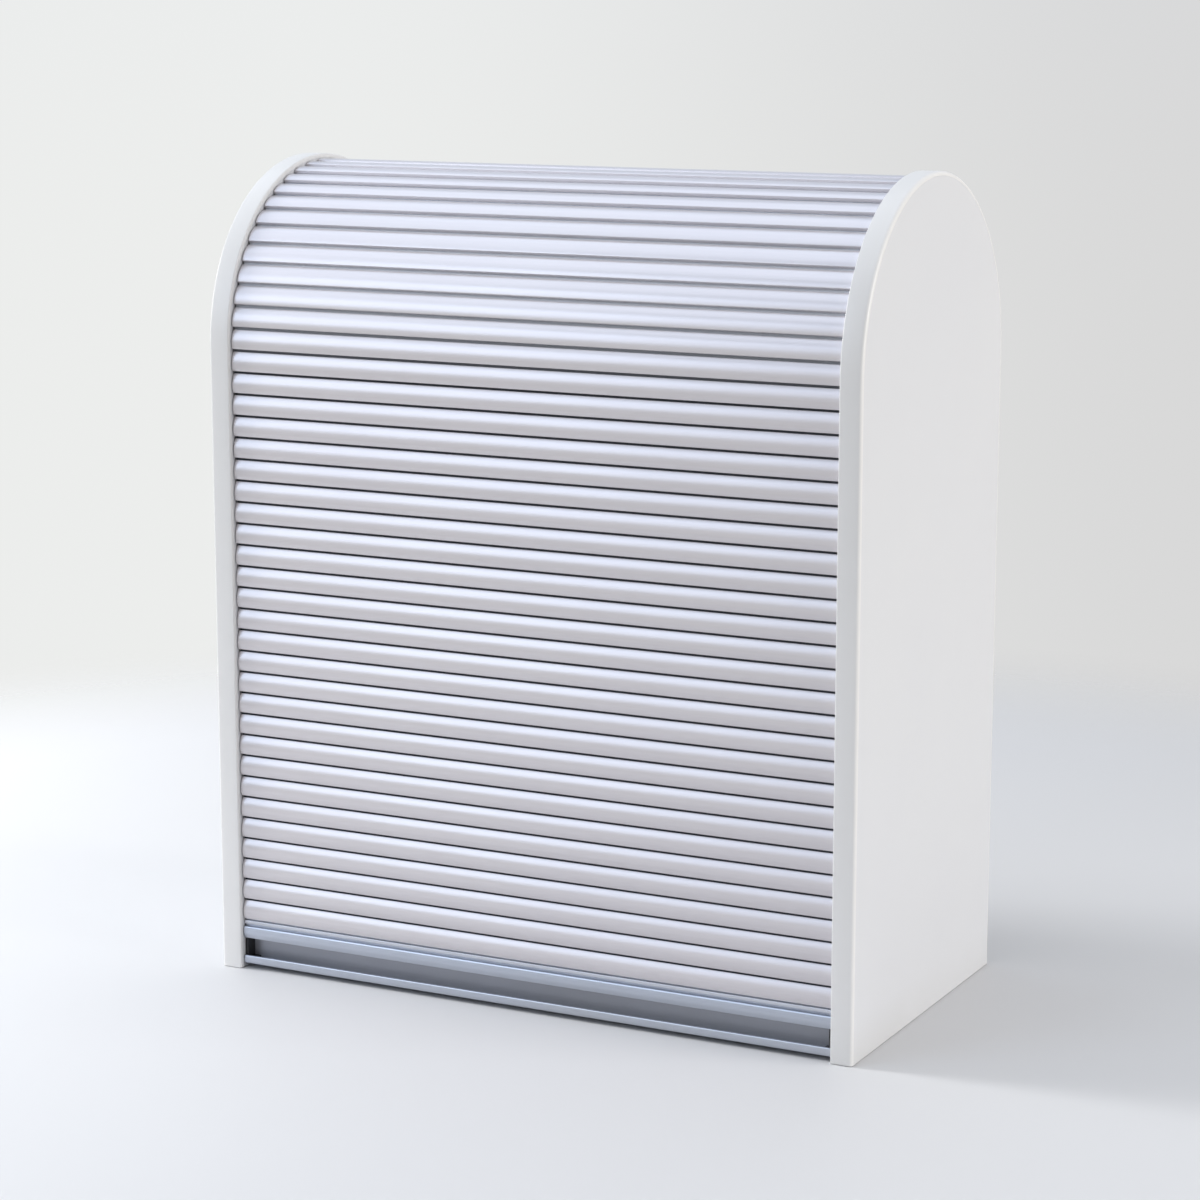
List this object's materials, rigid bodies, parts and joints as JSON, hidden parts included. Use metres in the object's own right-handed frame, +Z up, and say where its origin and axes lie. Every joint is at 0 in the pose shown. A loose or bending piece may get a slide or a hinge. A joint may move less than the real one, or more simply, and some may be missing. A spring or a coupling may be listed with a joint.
{
  "type": "roll-front storage cabinet",
  "caption": "Upright storage cabinet with arched white side panels and a grey slatted roll front that lifts by a recessed bottom handle to show shelves.",
  "frame": {"origin": "on the floor, under the middle of the cabinet", "axes": "+X to the right seen from the front, +Y to the back, +Z up; the roll front faces -Y"},
  "size_m": [0.5, 0.26, 0.587],
  "materials": {
    "panel": "white melamine-faced board, satin",
    "edging": "white edge banding, satin, rounded outer corners",
    "slat": "silver-grey extruded slat, satin",
    "handle": "satin anodised extrusion",
    "cap": "black moulded plastic",
    "guide": "pale grey extruded channel",
    "back": "white lacquered hardboard",
    "fitting": "bright zinc plate"
  },
  "bodies": {
    "cabinet": {"left_side_panel": "panel", "right_side_panel": "panel", "left_edge_band": "edging", "right_edge_band": "edging", "left_guide": "guide", "right_guide": "guide", "bottom_board": "panel", "top_board": "panel", "lower_shelf": "panel", "upper_shelf": "panel", "inner_back_panel": "back", "outer_back_panel": "back", "rear_rail": "panel", "arch_slats": "slat", "tail_bar": "slat", "front_stops": "cap", "rear_stops": "cap", "shelf_pins": "fitting", "cam_locks": "fitting", "cam_bolts": "fitting"},
    "handle": {"handle_rail": "handle", "left_handle_cap": "cap", "right_handle_cap": "cap"},
    "slat_01": {"front_slat_01": "slat"},
    "slat_02": {"front_slat_02": "slat"},
    "slat_03": {"front_slat_03": "slat"},
    "slat_04": {"front_slat_04": "slat"},
    "slat_05": {"front_slat_05": "slat"},
    "slat_06": {"front_slat_06": "slat"},
    "slat_07": {"front_slat_07": "slat"},
    "slat_08": {"front_slat_08": "slat"},
    "slat_09": {"front_slat_09": "slat"},
    "slat_10": {"front_slat_10": "slat"},
    "slat_11": {"front_slat_11": "slat"},
    "slat_12": {"front_slat_12": "slat"},
    "slat_13": {"front_slat_13": "slat"},
    "slat_14": {"front_slat_14": "slat"},
    "slat_15": {"front_slat_15": "slat"},
    "slat_16": {"front_slat_16": "slat"},
    "slat_17": {"front_slat_17": "slat"},
    "slat_18": {"front_slat_18": "slat"},
    "slat_19": {"front_slat_19": "slat"},
    "slat_20": {"front_slat_20": "slat"},
    "slat_21": {"front_slat_21": "slat"},
    "slat_22": {"front_slat_22": "slat"},
    "slat_23": {"front_slat_23": "slat"},
    "slat_24": {"front_slat_24": "slat"},
    "slat_25": {"front_slat_25": "slat"},
    "slat_26": {"front_slat_26": "slat"}
  },
  "joints": [
    {"name": "door_lift", "type": "slide", "parent": "cabinet", "child": "handle", "axis": [0, 0, 1], "range_m": [0, 0.403], "deforming": ["front_slat_01", "front_slat_02", "front_slat_03", "front_slat_04", "front_slat_05", "front_slat_06", "front_slat_07", "front_slat_08", "front_slat_09", "front_slat_10", "front_slat_11", "front_slat_12", "front_slat_13", "front_slat_14", "front_slat_15", "front_slat_16", "front_slat_17", "front_slat_18", "front_slat_19", "front_slat_20", "front_slat_21", "front_slat_22", "front_slat_23", "front_slat_24", "front_slat_25", "front_slat_26"]},
    {"name": "slat_01_lift", "type": "slide", "parent": "cabinet", "child": "slat_01", "axis": [0, 0, 1], "range_m": [0, 0.3995]},
    {"name": "slat_02_lift", "type": "slide", "parent": "cabinet", "child": "slat_02", "axis": [0, 0, 1], "range_m": [0, 0.3841]},
    {"name": "slat_03_lift", "type": "slide", "parent": "cabinet", "child": "slat_03", "axis": [0, 0, 1], "range_m": [0, 0.3688]},
    {"name": "slat_04_lift", "type": "slide", "parent": "cabinet", "child": "slat_04", "axis": [0, 0, 1], "range_m": [0, 0.3534]},
    {"name": "slat_05_lift", "type": "slide", "parent": "cabinet", "child": "slat_05", "axis": [0, 0, 1], "range_m": [0, 0.3381]},
    {"name": "slat_06_lift", "type": "slide", "parent": "cabinet", "child": "slat_06", "axis": [0, 0, 1], "range_m": [0, 0.3227]},
    {"name": "slat_07_lift", "type": "slide", "parent": "cabinet", "child": "slat_07", "axis": [0, 0, 1], "range_m": [0, 0.3074]},
    {"name": "slat_08_lift", "type": "slide", "parent": "cabinet", "child": "slat_08", "axis": [0, 0, 1], "range_m": [0, 0.2921]},
    {"name": "slat_09_lift", "type": "slide", "parent": "cabinet", "child": "slat_09", "axis": [0, 0, 1], "range_m": [0, 0.2767]},
    {"name": "slat_10_lift", "type": "slide", "parent": "cabinet", "child": "slat_10", "axis": [0, 0, 1], "range_m": [0, 0.2614]},
    {"name": "slat_11_lift", "type": "slide", "parent": "cabinet", "child": "slat_11", "axis": [0, 0, 1], "range_m": [0, 0.246]},
    {"name": "slat_12_lift", "type": "slide", "parent": "cabinet", "child": "slat_12", "axis": [0, 0, 1], "range_m": [0, 0.2307]},
    {"name": "slat_13_lift", "type": "slide", "parent": "cabinet", "child": "slat_13", "axis": [0, 0, 1], "range_m": [0, 0.2153]},
    {"name": "slat_14_lift", "type": "slide", "parent": "cabinet", "child": "slat_14", "axis": [0, 0, 1], "range_m": [0, 0.2]},
    {"name": "slat_15_lift", "type": "slide", "parent": "cabinet", "child": "slat_15", "axis": [0, 0, 1], "range_m": [0, 0.1846]},
    {"name": "slat_16_lift", "type": "slide", "parent": "cabinet", "child": "slat_16", "axis": [0, 0, 1], "range_m": [0, 0.1693]},
    {"name": "slat_17_lift", "type": "slide", "parent": "cabinet", "child": "slat_17", "axis": [0, 0, 1], "range_m": [0, 0.1539]},
    {"name": "slat_18_lift", "type": "slide", "parent": "cabinet", "child": "slat_18", "axis": [0, 0, 1], "range_m": [0, 0.1386]},
    {"name": "slat_19_lift", "type": "slide", "parent": "cabinet", "child": "slat_19", "axis": [0, 0, 1], "range_m": [0, 0.1233]},
    {"name": "slat_20_lift", "type": "slide", "parent": "cabinet", "child": "slat_20", "axis": [0, 0, 1], "range_m": [0, 0.1079]},
    {"name": "slat_21_lift", "type": "slide", "parent": "cabinet", "child": "slat_21", "axis": [0, 0, 1], "range_m": [0, 0.0926]},
    {"name": "slat_22_lift", "type": "slide", "parent": "cabinet", "child": "slat_22", "axis": [0, 0, 1], "range_m": [0, 0.0772]},
    {"name": "slat_23_lift", "type": "slide", "parent": "cabinet", "child": "slat_23", "axis": [0, 0, 1], "range_m": [0, 0.0619]},
    {"name": "slat_24_lift", "type": "slide", "parent": "cabinet", "child": "slat_24", "axis": [0, 0, 1], "range_m": [0, 0.0465]},
    {"name": "slat_25_lift", "type": "slide", "parent": "cabinet", "child": "slat_25", "axis": [0, 0, 1], "range_m": [0, 0.0312]},
    {"name": "slat_26_lift", "type": "slide", "parent": "cabinet", "child": "slat_26", "axis": [0, 0, 1], "range_m": [0, 0.0158]}
  ],
  "couplings": [
    {"joint": "slat_01_lift", "follows": "door_lift", "ratio": 0.99},
    {"joint": "slat_02_lift", "follows": "door_lift", "ratio": 0.95192},
    {"joint": "slat_03_lift", "follows": "door_lift", "ratio": 0.91385},
    {"joint": "slat_04_lift", "follows": "door_lift", "ratio": 0.87577},
    {"joint": "slat_05_lift", "follows": "door_lift", "ratio": 0.83769},
    {"joint": "slat_06_lift", "follows": "door_lift", "ratio": 0.79961},
    {"joint": "slat_07_lift", "follows": "door_lift", "ratio": 0.76154},
    {"joint": "slat_08_lift", "follows": "door_lift", "ratio": 0.72346},
    {"joint": "slat_09_lift", "follows": "door_lift", "ratio": 0.68539},
    {"joint": "slat_10_lift", "follows": "door_lift", "ratio": 0.64731},
    {"joint": "slat_11_lift", "follows": "door_lift", "ratio": 0.60923},
    {"joint": "slat_12_lift", "follows": "door_lift", "ratio": 0.57115},
    {"joint": "slat_13_lift", "follows": "door_lift", "ratio": 0.53308},
    {"joint": "slat_14_lift", "follows": "door_lift", "ratio": 0.495},
    {"joint": "slat_15_lift", "follows": "door_lift", "ratio": 0.45692},
    {"joint": "slat_16_lift", "follows": "door_lift", "ratio": 0.41885},
    {"joint": "slat_17_lift", "follows": "door_lift", "ratio": 0.38077},
    {"joint": "slat_18_lift", "follows": "door_lift", "ratio": 0.34269},
    {"joint": "slat_19_lift", "follows": "door_lift", "ratio": 0.30462},
    {"joint": "slat_20_lift", "follows": "door_lift", "ratio": 0.26654},
    {"joint": "slat_21_lift", "follows": "door_lift", "ratio": 0.22846},
    {"joint": "slat_22_lift", "follows": "door_lift", "ratio": 0.19038},
    {"joint": "slat_23_lift", "follows": "door_lift", "ratio": 0.15231},
    {"joint": "slat_24_lift", "follows": "door_lift", "ratio": 0.11423},
    {"joint": "slat_25_lift", "follows": "door_lift", "ratio": 0.076154},
    {"joint": "slat_26_lift", "follows": "door_lift", "ratio": 0.038077}
  ]
}
